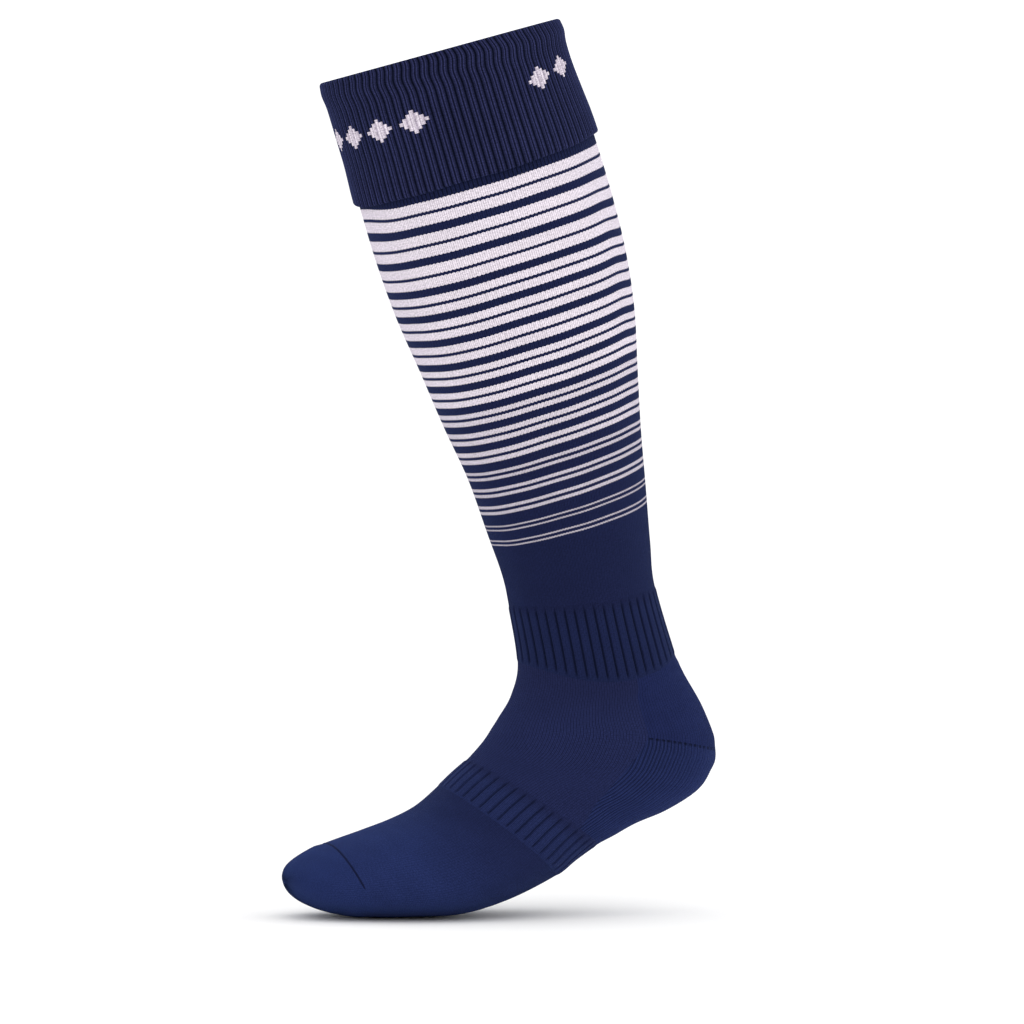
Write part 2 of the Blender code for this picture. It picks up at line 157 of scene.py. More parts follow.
# Turn is 0 on the front and half a turn on the heel or sole; the fabric lies outside this skin
def skinAt(place, turn):
    place, turn = np.broadcast_arrays(np.asarray(place, float), np.asarray(turn, float))
    frontX, frontZ, backX, backZ, half, shift, square, low, droop, cant, _ = sectionAt(place)
    side = np.sin(turn)
    across = (1 - np.cos(turn)) / 2
    across = across + low * across * (1 - across)
    x = -(frontX + (backX - frontX) * across) - mouth[0]
    y = shift - half * np.sign(side) * np.abs(side) ** square
    z = frontZ + (backZ - frontZ) * across + cant * side - droop * side * side - mouth[1]
    cosine, sine = math.cos(form["lean"]), math.sin(form["lean"])
    return np.stack((x * cosine - z * sine, y, x * sine + z * cosine), -1)


def unit(vectors):
    return vectors / np.maximum(np.linalg.norm(vectors, axis=-1, keepdims=True), 1e-12)


def outwardAt(place, turn):
    place = np.clip(np.asarray(place, float), step, lastPlace - 2 * step)
    along = skinAt(place + step, turn) - skinAt(place - step, turn)
    around = skinAt(place, turn + step) - skinAt(place, turn - step)
    return unit(np.cross(along, around))


def offSkin(place, turn, rise):
    place, turn, rise = np.broadcast_arrays(
        np.asarray(place, float), np.asarray(turn, float), np.asarray(rise, float)
    )
    return skinAt(place, turn) + outwardAt(place, turn) * rise[..., None]


# Length below the fold, along the leg
def dropAt(place):
    values = sectionAt(place)
    return mouth[1] - (values[1] + values[3]) / 2


legPlaces = np.linspace(0.0, station("bandTop"), 2000)
legDrops = dropAt(legPlaces)


def placeBelowFold(drop):
    return np.interp(drop, legDrops, legPlaces)


def smooth(low, high, value):
    t = np.clip((value - low) / (high - low), 0, 1)
    return t * t * (3 - 2 * t)


def borderAt(place):
    return sectionAt(place)[-1] * math.pi


# One mesh made of grids, each with its stitch numbers and its own part of the bake map
class Surface:
    def __init__(self, name):
        self.name = name
        self.points, self.faces, self.stitches, self.bakes = [], [], [], []
        self.total = 0

    # Rows of points by columns; wale and course have a column more where the grid closes
    def grid(self, points, wale, course, bake, closed=False, flip=False):
        rows, columns = points.shape[:2]
        ids = self.total + np.arange(rows * columns).reshape(rows, columns)
        self.points.append(points.reshape(-1, 3))
        self.total += rows * columns
        wide = columns + 1 if closed else columns
        wale = np.broadcast_to(wale, (rows, wide))
        course = np.broadcast_to(course, (rows, wide))
        right = np.concatenate((ids, ids[:, :1]), 1) if closed else ids
        left, bottom, width, height = bake
        mapU = np.broadcast_to(left + width * np.arange(wide) / (wide - 1), (rows, wide))
        mapV = np.broadcast_to(
            (bottom + height * (1 - np.arange(rows) / (rows - 1)))[:, None], (rows, wide)
        )
        corners = ((0, 0), (0, 1), (1, 1), (1, 0))
        if flip:
            corners = corners[::-1]

        def pick(values):
            return np.stack([
                values[j:rows - 1 + j, i:wide - 1 + i].reshape(-1) for j, i in corners
            ], -1)

        self.faces.append(pick(right))
        self.stitches.append(np.stack((pick(wale), pick(course)), -1))
        self.bakes.append(np.stack((pick(mapU), pick(mapV)), -1))

    def build(self, material, nodes):
        points = np.concatenate(self.points)
        faces = np.concatenate(self.faces)
        mesh = bpy.data.meshes.new(self.name)
        mesh.vertices.add(len(points))
        mesh.vertices.foreach_set("co", points.astype(np.float32).reshape(-1))
        mesh.loops.add(faces.size)
        mesh.loops.foreach_set("vertex_index", faces.astype(np.int32).reshape(-1))
        mesh.polygons.add(len(faces))
        mesh.polygons.foreach_set("loop_start", np.arange(0, faces.size, 4, dtype=np.int32))
        for title, values in (("OFBake", self.bakes), ("Knit", self.stitches)):
            layer = mesh.uv_layers.new(name=title)
            layer.uv.foreach_set("vector", np.concatenate(values).astype(np.float32).reshape(-1))
        mesh.update(calc_edges=True)
        mesh.validate()
        mesh.shade_smooth()
        mesh.materials.append(material)
        piece = bpy.data.objects.new(self.name, mesh)
        bpy.context.scene.collection.objects.link(piece)
        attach(piece, "root")
        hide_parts(*nodes)
        print("built", self.name, len(faces) * 2, "triangles")
        return piece


ringTurns = math.tau * np.arange(361) / 360


# Share of a ring's length that has run at each of ringTurns, a row for each place
def ringShares(place):
    rings = skinAt(np.asarray(place, float)[:, None], ringTurns[None, :])
    lengths = np.linalg.norm(np.diff(rings, axis=1), axis=-1).cumsum(1)
    return np.concatenate((np.zeros((len(rings), 1)), lengths), 1) / lengths[:, -1:]


# Turns that share a ring evenly, so that ribs and wales keep one width all round it
def evenTurns(place, shares):
    return np.stack([np.interp(shares, run, ringTurns) for run in ringShares(place)])


# Wale numbers at turns of a ring; a turn below 0 counts back from 0
def walesAt(place, turns):
    def sharesOf(row, run):
        forward = np.interp(row, ringTurns, run)
        return np.where(row < 0, np.interp(row % math.tau, ringTurns, run) - 1, forward)

    return np.stack([sharesOf(*pair) for pair in zip(turns, ringShares(place))]) * knit["wales"]


def turnsOf(columns):
    return math.tau * np.arange(columns) / columns


def walesOf(columns):
    return knit["wales"] * np.arange(columns + 1)[None, :] / columns


# Courses from the first row to each row, by the mean length run
def coursesOf(place, turns):
    points = skinAt(place[:, None], turns[None, :])
    steps = np.linalg.norm(np.diff(points, axis=0), axis=-1).mean(1)
    return np.concatenate(([0.0], np.cumsum(steps)))[:, None] / knit["course"]


# A slow waver round the sock, as hand-pulled fabric has: share, waves in a round, phase
waver = ((0.5, 3, 0.6), (0.3, 5, 2.1), (0.2, 11, 0.0))


def wavering(turns, size):
    return size * sum(share * np.sin(waves * turns + phase) for share, waves, phase in waver)


def newGroup(name, inputs, outputs):
    tree = bpy.data.node_groups.new(name, "ShaderNodeTree")
    for title in inputs:
        tree.interface.new_socket(title, in_out="INPUT", socket_type="NodeSocketFloat")
    for title in outputs:
        tree.interface.new_socket(title, in_out="OUTPUT", socket_type="NodeSocketFloat")
    return tree, tree.nodes.new("NodeGroupInput").outputs, tree.nodes.new("NodeGroupOutput").inputs


def maths(tree, operation, *values, clamp=False):
    node = tree.nodes.new("ShaderNodeMath")
    node.operation = operation
    node.use_clamp = clamp
    for socket, value in zip(node.inputs, values):
        if isinstance(value, (int, float)):
            socket.default_value = value
        else:
            tree.links.new(value, socket)
    return node.outputs[0]


def spread(tree, value, low, high, outLow=0.0, outHigh=1.0):
    node = tree.nodes.new("ShaderNodeMapRange")
    node.interpolation_type = "SMOOTHSTEP"
    tree.links.new(value, node.inputs["Value"])
    limits = {"From Min": low, "From Max": high, "To Min": outLow, "To Max": outHigh}
    for title, number in limits.items():
        if isinstance(number, (int, float)):
            node.inputs[title].default_value = number
        else:
            tree.links.new(number, node.inputs[title])
    return node.outputs["Result"]


# 0 in the middle of each step of the value and 1 at its ends
def fromMiddle(tree, value):
    whole = maths(tree, "FRACT", value)
    return maths(tree, "ABSOLUTE", maths(tree, "MULTIPLY_ADD", whole, 2.0, -1.0))


# Plain knit: each wale is a column of V shapes, with a groove at its middle and its edges
stitch = {
    "slant": 0.85,  # courses that an arm of the V rises
    "armRound": 0.6,  # power of its round across; nearer 0 is flatter
    "rowRound": 2.5,  # power of a stitch's round along; higher is flatter
    "rowDepth": 0.45,  # of the groove between courses
    "line": (0.45, 0.95),  # where the line between wales starts and is full
}


def stitchGroup():
    tree, given, result = newGroup("knitStitches", ("Wale", "Course"), ("Height", "Groove", "Line"))
    across = fromMiddle(tree, given["Wale"])
    arm = maths(tree, "SINE", maths(tree, "MULTIPLY", across, math.pi))
    slanted = maths(tree, "MULTIPLY_ADD", across, stitch["slant"], given["Course"])
    row = fromMiddle(tree, slanted)
    rounded = maths(tree, "SUBTRACT", 1.0, maths(tree, "POWER", row, stitch["rowRound"]))
    armRound = maths(tree, "POWER", maths(tree, "MAXIMUM", arm, 0.0), stitch["armRound"])
    low = 1 - stitch["rowDepth"]
    rows = maths(tree, "MULTIPLY_ADD", rounded, stitch["rowDepth"], low)
    height = maths(tree, "MULTIPLY", armRound, rows)
    tree.links.new(height, result["Height"])
    # Groove and Line only darken the colour, as painted shade in the stitch grooves and between
    # wales; Height also makes the bump
    tree.links.new(spread(tree, across, *stitch["line"]), result["Line"])
    tree.links.new(maths(tree, "SUBTRACT", 1.0, height, clamp=True), result["Groove"])
    return tree


# Unevenness of the yarn: soft patches, finer flecks and loose hairs, each by its noise's scale
noises = {"Patches": 0.07, "Flecks": 1.3, "Fuzz": 6.0}
noiseRange = (0.3, 0.7)  # of a noise's values, spread over the whole effect


def mottleGroup():
    tree, given, result = newGroup("yarnMottle", ("Wale", "Course"), noises)
    joined = tree.nodes.new("ShaderNodeCombineXYZ")
    tree.links.new(given["Wale"], joined.inputs["X"])
    tree.links.new(given["Course"], joined.inputs["Y"])
    for title, scale in noises.items():
        noise = tree.nodes.new("ShaderNodeTexNoise")
        noise.inputs["Scale"].default_value = scale
        noise.inputs["Detail"].default_value = 2.0
        tree.links.new(joined.outputs[0], noise.inputs["Vector"])
        tree.links.new(noise.outputs["Fac"], result[title])
    return tree


# Where painted shade goes in the valleys between ribs of so many wales, and a fainter one along the
# middle of each rib
def ribGroup():
    tree, given, result = newGroup("ribValleys", ("Wale", "Every", "Ridge", "Middle"), ("Valley",))
    away = fromMiddle(tree, maths(tree, "DIVIDE", given["Wale"], given["Every"]))
    side = spread(tree, away, given["Ridge"], 1.0)
    narrow = maths(tree, "MULTIPLY_ADD", given["Ridge"], 0.5, 0.5)
    other = spread(tree, maths(tree, "SUBTRACT", 1.0, away), narrow, 1.0)
    middle = maths(tree, "MULTIPLY", other, given["Middle"])
    tree.links.new(maths(tree, "MAXIMUM", side, middle), result["Valley"])
    return tree


# A line of small holes at the start of a piece, whose dark colour is painted shade
seamHole = {
    "every": 2.0,  # wales
    "edge": (0.25, 0.75),  # share of a step where a hole begins and is full
    "reach": (2.2, 1.0),  # courses at which the line ends and is full
    "between": 0.25,  # strength of the line between the holes
}


def holesGroup():
    tree, given, result = newGroup("seamHoles", ("Wale", "Course"), ("Hole",))
    away = fromMiddle(tree, maths(tree, "DIVIDE", given["Wale"], seamHole["every"]))
    across = spread(tree, away, *seamHole["edge"])
    along = spread(tree, given["Course"], *seamHole["reach"])
    between = seamHole["between"]
    line = maths(tree, "MULTIPLY_ADD", across, 1 - between, between)
    tree.links.new(maths(tree, "MULTIPLY", line, along), result["Hole"])
    return tree


# White bands in pairs: courses of each band, and the navy courses after the pair
stripes = {
    "start": 0.0720,  # first band below the fold, metres
    "thin": 2,  # navy courses inside a pair
    "pairs": (
        (6, 5), (6, 5), (6, 5), (5, 5), (5, 5), (5, 5), (4, 5), (4, 5),
        (3, 5), (3, 5), (3, 6), (2, 6), (2, 6), (2, 8), (1, 7), (1, 0),
    ),
    "saw": 0.55,  # how far a stitch's tip reaches into the next band, courses
    "thinWhite": 0.52, "whitePerCourse": 0.12,  # a narrow band is less white
    "edgesInRamp": 8,  # short ramps stay sharp
}


def stripeEdges():
    edges = []
    at = stripes["start"] / knit["course"]
    for white, navy in stripes["pairs"]:
        for length in (white, stripes["thin"], white, navy):
            edges.append(at)
            at += length
    return edges


# White bands across the leg: edges is where the colour changes, in courses
def bandsGroup(edges):
    tree, given, result = newGroup("whiteBands", ("Wale", "Course"), ("White",))
    away = fromMiddle(tree, given["Wale"])
    saw = maths(tree, "MULTIPLY_ADD", away, stripes["saw"], -stripes["saw"] / 2)
    course = maths(tree, "ADD", given["Course"], saw)
    white = None
    size = stripes["edgesInRamp"]
    for part in (edges[k:k + size] for k in range(0, len(edges), size)):
        start, end = part[0] - 1, part[-1] + 1
        run = maths(tree, "SUBTRACT", course, start)
        share = maths(tree, "DIVIDE", run, end - start, clamp=True)
        ramp = tree.nodes.new("ShaderNodeValToRGB")
        ramp.color_ramp.interpolation = "CONSTANT"
        stops = ramp.color_ramp.elements
        stops.remove(stops[-1])
        stops[0].position = 0.0
        stops[0].color = (0, 0, 0, 1)
        levels = []
        for at, following in zip(part[::2], part[1::2]):
            band = stripes["thinWhite"] + stripes["whitePerCourse"] * (following - at)
            levels += [min(1.0, band), 0.0]
        for at, level in zip(part, levels):
            stops.new((at - start) / (end - start)).color = (level, level, level, 1)
        tree.links.new(share, ramp.inputs["Fac"])
        value = ramp.outputs["Color"]
        white = value if white is None else maths(tree, "MAXIMUM", white, value)
    tree.links.new(white, result["White"])
    return tree


# A row of plain lozenges, stepped as stitches are; the row may climb
def motifGroup(name, row):
    tree, given, result = newGroup(name, ("Wale", "Course"), ("White",))
    half = knit["wales"] / 2
    shifted = maths(tree, "ADD", given["Wale"], half)
    near = maths(tree, "SUBTRACT", maths(tree, "FLOORED_MODULO", shifted, knit["wales"]), half)
    run = maths(tree, "SUBTRACT", near, row["first"])
    inRow = maths(tree, "MAXIMUM", run, 0.0)
    climbed = maths(tree, "MULTIPLY_ADD", inRow, row["climb"], given["Course"])
    above = maths(tree, "SUBTRACT", climbed, row["drop"] / knit["course"])
    stepsUp = maths(tree, "ABSOLUTE", maths(tree, "ROUND", maths(tree, "DIVIDE", above, row["tall"])))
    every = 2 * row["half"] + 1
    across = maths(tree, "FLOOR", maths(tree, "FLOORED_MODULO", run, float(every)))
    stepsAcross = maths(tree, "ABSOLUTE", maths(tree, "SUBTRACT", across, float(row["half"])))
    inside = maths(tree, "LESS_THAN", maths(tree, "ADD", stepsUp, stepsAcross), row["half"] - 0.5)
    begun = maths(tree, "GREATER_THAN", run, 0.0)
    ended = maths(tree, "LESS_THAN", run, float(every * row["count"]))
    white = maths(tree, "MULTIPLY", maths(tree, "MULTIPLY", begun, ended), inside)
    tree.links.new(white, result["White"])
    return tree


knitStitches = stitchGroup()
yarnMottle = mottleGroup()
ribValleys = ribGroup()
seamHoles = holesGroup()


def mixed(tree, share, a, b):
    node = tree.nodes.new("ShaderNodeMix")
    node.data_type = "RGBA"
    for socket, value in ((node.inputs[0], share), (node.inputs[6], a), (node.inputs[7], b)):
        if isinstance(value, (int, float)):
            socket.default_value = value
        elif isinstance(value, tuple):
            socket.default_value = (*value, 1.0)
        else:
            tree.links.new(value, socket)
    return node.outputs[2]


def useGroup(tree, group, **sockets):
    node = tree.nodes.new("ShaderNodeGroup")
    node.node_tree = group
    for title, value in sockets.items():
        if isinstance(value, (int, float)):
            node.inputs[title].default_value = value
        else:
            tree.links.new(value, node.inputs[title])
    return node.outputs


# Yarn colour with painted shade in the grooves between stitches, between wales, in rib valleys and in
# seam holes, with knit relief
def knitMaterial(name, look):
    material = bpy.data.materials.new(name)
    material.use_nodes = True
    tree = material.node_tree
    shader = tree.nodes["Principled BSDF"]
    place = tree.nodes.new("ShaderNodeUVMap")
    place.uv_map = "Knit"
    split = tree.nodes.new("ShaderNodeSeparateXYZ")
    tree.links.new(place.outputs["UV"], split.inputs[0])
    wale, course = split.outputs["X"], split.outputs["Y"]
    stitches = useGroup(tree, knitStitches, Wale=wale, Course=course)
    mottle = useGroup(tree, yarnMottle, Wale=wale, Course=course)
    # Painted shade: darker toward a near-black navy in the grooves between stitches
    depth = maths(tree, "MULTIPLY", stitches["Groove"], look["groove"], clamp=True)
    colour = look["colour"]
    if "blend" in look:
        first, length = look["blend"]
        colour = mixed(tree, spread(tree, course, 0.0, length), first, colour)
    colour = mixed(tree, depth, colour, look["grooveShadeColour"])
    # Painted shade along the line between wales
    line = maths(tree, "MULTIPLY", stitches["Line"], look["line"])
    colour = mixed(tree, line, colour, look["valleyShadeColour"])
    valley = 0.0
    # Painted shade in the valleys between ribs, fading where the ribs fade
    if "rib" in look:
        every, ridge, middle = look["rib"]
        ribs = useGroup(tree, ribValleys, Wale=wale, Every=every, Ridge=ridge, Middle=middle)
        valley = maths(tree, "MULTIPLY", ribs["Valley"], look["valley"])
        for low, high, value in look.get("fades", ()):
            fading = spread(tree, course if value == "course" else wale, low, high)
            valley = maths(tree, "MULTIPLY", valley, fading)
        colour = mixed(tree, valley, colour, look["valleyShadeColour"])
    # The holes are real; their dark colour is painted shade, with no opening in the mesh
    if "holes" in look:
        holes = useGroup(tree, seamHoles, Wale=wale, Course=course)
        hole = maths(tree, "MULTIPLY", holes["Hole"], look["holes"])
        colour = mixed(tree, hole, colour, look["valleyShadeColour"])
    # The white yarn takes painted shade in its grooves, between wales and in rib valleys
    if "bands" in look:
        line = maths(tree, "MULTIPLY", stitches["Line"], look["whiteLine"])
        shaded = maths(tree, "MAXIMUM", maths(tree, "MAXIMUM", stitches["Groove"], line), valley)
        shaded = maths(tree, "MULTIPLY", shaded, look["whiteGroove"])
        whiteYarn = mixed(tree, shaded, look["white"], look["whiteShade"])
        for group in look["bands"]:
            band = useGroup(tree, group, Wale=wale, Course=course)
            colour = mixed(tree, band["White"], colour, whiteYarn)
    light = spread(tree, mottle["Patches"], *noiseRange, 1 - look["mottle"], 1 + look["mottle"])
    fine = spread(tree, mottle["Flecks"], *noiseRange, 1 - look["fleck"], 1 + look["fleck"])
    tint = tree.nodes.new("ShaderNodeVectorMath")
    tint.operation = "SCALE"
    tree.links.new(colour, tint.inputs[0])
    tree.links.new(maths(tree, "MULTIPLY", light, fine), tint.inputs["Scale"])
    tree.links.new(tint.outputs[0], shader.inputs["Base Color"])
    rough = spread(tree, stitches["Height"], 0.0, 1.0, look["grooveRoughness"], look["roughness"])
    tree.links.new(rough, shader.inputs["Roughness"])
    relief = maths(tree, "MULTIPLY_ADD", mottle["Fuzz"], look["fuzz"], stitches["Height"])
    bump = tree.nodes.new("ShaderNodeBump")
    bump.inputs["Strength"].default_value = look["bump"]
    bump.inputs["Distance"].default_value = look["depth"]
    tree.links.new(relief, bump.inputs["Height"])
    tree.links.new(bump.outputs["Normal"], shader.inputs["Normal"])
    shader.inputs["Specular IOR Level"].default_value = look["shine"]
    shader.inputs["Sheen Weight"].default_value = look["sheen"]
    shader.inputs["Sheen Roughness"].default_value = look["sheenRoughness"]
    shader.inputs["Sheen Tint"].default_value = (*look["sheenTint"], 1.0)
    return material


# Yarn common to all the pieces; each piece changes what differs
yarn = {
    # The groove and valley colours are painted shade, and whiteShade is the white yarn's painted
    # shade
    "colour": (0.0122, 0.0166, 0.0600), "grooveShadeColour": (0.0022, 0.0028, 0.0100),
    "valleyShadeColour": (0.0022, 0.0032, 0.0105), "groove": 0.80, "mottle": 0.03, "fleck": 0.18,
    "roughness": 0.85, "grooveRoughness": 0.97, "fuzz": 0.30, "bump": 0.6, "depth": 0.0004,
    "shine": 0.03, "sheen": 0.07, "sheenRoughness": 0.45, "sheenTint": (0.2, 0.35, 1.0),
    "white": (0.80, 0.735, 0.795), "whiteShade": (0.33, 0.28, 0.36), "whiteGroove": 0.85,
    "line": 0.22, "whiteLine": 0.4,
}

cuff = {
    "drop": 0.068, "tuck": 0.052, "wall": 0.0015, "ease": 0.0004,
    "rowsOutside": 76, "foldSteps": 12, "rowsInside": 16,
    "outerFrom": 0.6,  # share of the turned layer's height from which its bends and bulges grow
    # up from the hem and out from the turned layer's back
    "hemProfile": ((0.0015, 0.0), (0.0003, 0.0002), (0.0, 0.0006), (0.0003, 0.0011)),
    "hemRound": 0.0011,  # height at which the hem has become the outer face
    "innerEdge": 0.0008,  # thickness of the inner layer's edge
    "pairs": 84, "ribHeight": 0.0008, "innerRelief": 0.7,
    # place in a pair of ridges and depth there, of the rib height
    "pairShape": (
        (0.00, 1.00), (0.13, 0.40), (0.29, 0.00), (0.41, 0.30),
        (0.50, 0.75), (0.59, 0.30), (0.71, 0.00), (0.87, 0.40),
    ),
    # the bulge round the fold: height, middle, half breadth, unevenness
    "roll": 0.0009, "rollAt": 0.0065, "rollBreadth": 0.0050, "rollUneven": 0.25,
    "flare": 0.0010, "flareFrom": 0.042, "hemWave": 0.0005, "hemWander": 0.006,
    # the back of the top drawn in: size, and where it fades, by drop and by cosine of the turn
    "pull": 0.0020, "pullDrops": (0.020, 0.055), "pullCosines": (0.6, -1.0),
    # the ribs' bends under the fold: size, start, length of a bend, reach
    "sway": 0.0011, "swayStart": 0.002, "swayLength": 0.017, "swayReach": 0.014,
    "look": dict(
        # The rib valleys and stitch grooves of the cuff take painted shade
        yarn, colour=(0.0330, 0.0370, 0.1120), rib=(2.0, 0.22, 0.9), valley=1.0, groove=0.75,
        line=0.0, valleyShadeColour=(0.0014, 0.0022, 0.0080), mottle=0.06, fleck=0.25,
    ),
    # white lozenges: first wale, count, half width in wales, courses a step, rise in courses a wale
    "motifs": (
        {"first": -6, "count": 4, "half": 4, "tall": 2.0, "drop": 0.0312, "climb": 0.0},
        {"first": 52, "count": 2, "half": 4, "tall": 2.0, "drop": 0.0290, "climb": 0.30},
    ),
}


def cuffRelief():
    pairs = np.arange(cuff["pairs"])[:, None]
    shape = np.array(cuff["pairShape"])
    turns = (pairs + shape[None, :, 0]).reshape(-1) / cuff["pairs"] * math.tau
    return turns, np.tile(shape[:, 1], cuff["pairs"]) * cuff["ribHeight"]


# The cuff's section: length below the fold and height off the skin, from the hem up the outside,
# over the fold and down the inside; with it the row where the outside ends
def cuffPath():
    wall, back = cuff["wall"], cuff["wall"] + cuff["ease"]
    middle, drop = wall + cuff["ease"] / 2, cuff["drop"]
    path = [(drop - up, back + out) for up, out in cuff["hemProfile"]]
    start, rows = drop - cuff["hemRound"], cuff["rowsOutside"]
    path += [(start - (start - middle) * k / rows, back + wall) for k in range(rows + 1)]
    top = len(path) - 1
    angles = [math.pi * k / cuff["foldSteps"] for k in range(1, cuff["foldSteps"])]
    path += [(middle - middle * math.sin(a), middle + middle * math.cos(a)) for a in angles]
    rows = cuff["rowsInside"]
    path += [(middle + (cuff["tuck"] - middle) * k / rows, 0.0) for k in range(rows + 1)]
    path += [(cuff["tuck"], cuff["innerEdge"])]
    return np.array(path), top


def makeCuff():
    turns, relief = cuffRelief()
    path, top = cuffPath()
    down, rise = path[:, 0][:, None], path[:, 1][:, None]
    back = cuff["wall"] + cuff["ease"]
    outer = smooth(back * cuff["outerFrom"], back + cuff["wall"], rise)
    turn = turns[None, :]
    uneven = 1 + cuff["rollUneven"] * np.sin(5 * turn + 1.0)
    rolled = np.exp(-(((down - cuff["rollAt"]) / cuff["rollBreadth"]) ** 2)) * uneven
    flared = smooth(cuff["flareFrom"], cuff["drop"], down)
    lift = outer * (cuff["roll"] * rolled + cuff["flare"] * flared)
    pulled = 1 - smooth(*cuff["pullDrops"], down)
    lift = lift - cuff["pull"] * pulled * smooth(*cuff["pullCosines"], np.cos(turn))
    bends = math.tau * (down - cuff["swayStart"]) / cuff["swayLength"] + 1.5 * np.sin(2 * turn)
    sway = np.sin(bends) * np.exp(-((down / cuff["swayReach"]) ** 2))
    radius = form["calfWidth"] / 2
    wander = wavering(turns, cuff["hemWander"])[None, :] * flared
    turn = turn + outer * cuff["sway"] / radius * sway + outer * wander
    wave = cuff["hemWave"] * (np.sin(4 * turn + 0.4) + 0.6 * np.sin(9 * turn)) * outer * flared
    row = np.arange(len(path))
    sides = np.where(row < top + cuff["foldSteps"] / 2, -1.0, cuff["innerRelief"])[:, None]
    sides[0] = 0.0
    place = placeBelowFold(np.maximum(down + wave, 0.0))
    points = offSkin(place, turn, rise + lift + relief[None, :] * sides)
    lengths = np.linalg.norm(np.diff(path, axis=0), axis=1).cumsum()
    lengths = np.concatenate(([0.0], lengths))
    inside = -(lengths - lengths[top]) - 0.001  # below 0, so that the motif stays outside
    course = np.where(row <= top, path[:, 0], inside) / knit["course"]
    wale = np.concatenate((turns, [math.tau])) / math.tau * knit["wales"]
    names = ("lozengesFront", "lozengesBack")
    rows = [motifGroup(name, motif) for name, motif in zip(names, cuff["motifs"])]
    look = dict(cuff["look"], bands=rows)
    shell = Surface("turnedCuff")
    shell.grid(points, wale[None, :], course[:, None], bakeParts["whole"], closed=True)
    return shell.build(knitMaterial("cuffKnit", look), ["turned_cuff"])


leg = {
    "columnsPerWale": 2, "rows": 215, "liningRows": 24, "wall": 0.0016, "waleHeight": 0.00012,
    "underCuff": 0.006,  # metres that the tube goes on above the cuff's hem
    "wander": 0.35,  # courses that the bands stray up and down
    # metres that the first bands rise at the front, and where that fades: turns and drops
    "climb": 0.0030, "climbTurns": (0.05, 0.65), "climbDrops": (0.068, 0.100),
    # millimetres that the bands sag, by drop below the fold and by degrees round from the front
    "sagDrops": (75, 100, 123, 147, 171, 195, 219, 243, 267),
    "sagTurns": (10, 40, 90, 135, 160),
    "sag": (
        (1.0, 0.0, 0.5, 1.3, 1.3), (1.1, 0.8, 0.4, 1.4, 2.6), (1.2, 1.4, 0.4, 1.6, 3.5),
        (0.5, 1.5, 0.3, 1.0, 3.0), (0.3, 1.2, 0.3, 0.0, 1.5), (0.6, 1.0, 0.2, 0.1, 0.8),
        (1.0, 1.2, 0.1, 0.3, 0.7), (0.2, 0.5, 0.2, 0.1, -0.2), (-0.9, 0.0, 0.1, 0.1, -0.8),
    ),
    "look": dict(
        # Painted shade in rib valleys over the top courses, under the cuff and just below its hem
        yarn, depth=0.0005, rib=(1.0, 0.15, 0.0), valley=0.75, fades=((85.0, 82.5, "course"),),
    ),
}


# How far the bands sag at drops (a column) and turns from the front (a row), metres
def sagAt(drops, front):
    table = np.array(leg["sag"])
    row = np.interp(drops[:, 0] * 1000, leg["sagDrops"], np.arange(len(leg["sagDrops"])))
    column = np.interp(np.degrees(front[0]), leg["sagTurns"], np.arange(len(leg["sagTurns"])))

    def blended(values, place):
        first = np.clip(place.astype(int), 0, len(values) - 2)
        share = smooth(0, 1, place - first).reshape(-1, *([1] * (values.ndim - 1)))
        return values[first] * (1 - share) + values[first + 1] * share

    return blended(blended(table, row).T, column).T / 1000


def makeLeg():
    columns = knit["wales"] * leg["columnsPerWale"]
    turns = turnsOf(columns)
    first = cuff["drop"] - leg["underCuff"]
    drops = np.linspace(first, form["legLength"], leg["rows"])[:, None]
    ridge = np.where(np.arange(columns) % 2 == 1, 0.0, -leg["waleHeight"])[None, :]
    points = offSkin(placeBelowFold(drops), turns[None, :], leg["wall"] + ridge)
    around = math.tau * np.arange(columns + 1)[None, :] / columns
    front = np.abs((around + math.pi) % math.tau - math.pi)
    climb = 1 - smooth(*leg["climbTurns"], front)
    climb = leg["climb"] * climb * (1 - smooth(*leg["climbDrops"], drops))
    course = (drops + climb - sagAt(drops, front)) / knit["course"]
    course = course + wavering(around, leg["wander"])
    shell = Surface("legTube")
    shell.grid(points, walesOf(columns), course, bakeParts["outer"], closed=True, flip=True)
    first = cuff["tuck"] + knit["gap"]
    drops = np.linspace(first, form["legLength"], leg["liningRows"])[:, None]
    lining = offSkin(placeBelowFold(drops), turnsOf(knit["wales"])[None, :], 0.0)
    course = drops / knit["course"]
    shell.grid(lining, walesOf(knit["wales"]), course, bakeParts["lining"], closed=True)
    look = dict(leg["look"], bands=[bandsGroup(stripeEdges())])
    return shell.build(knitMaterial("stripedKnit", look), ["leg"])


bands = {
    "ribs": 42, "columnsPerRib": 12, "wall": 0.0020, "ribHeight": 0.0009, "ridge": 0.66,
    # shares of a band's length: over which the grooves end, how far their ends waver, and where their
    # painted shade starts and is full at the first end and at the last
    "fade": 0.08, "endWaver": 0.015, "fadeFirst": (0.01, 0.13), "fadeLast": (0.99, 0.90),
    "ankleRows": 40, "archRows": 48, "liningRows": 8, "arch": {
        "colour": (0.0180, 0.0268, 0.0960), "valley": 0.54, "blend": ((0.0150, 0.0200, 0.0720), 12.0),
    },
    "look": dict(
        # valley, here and in the arch's changes, sets the painted shade in the rib valleys
        yarn, colour=(0.0127, 0.0190, 0.0680), rib=(4.0, 0.56, 0.0), valley=0.80,
        blend=((0.0110, 0.0150, 0.0545), 9.0),
    ),
}


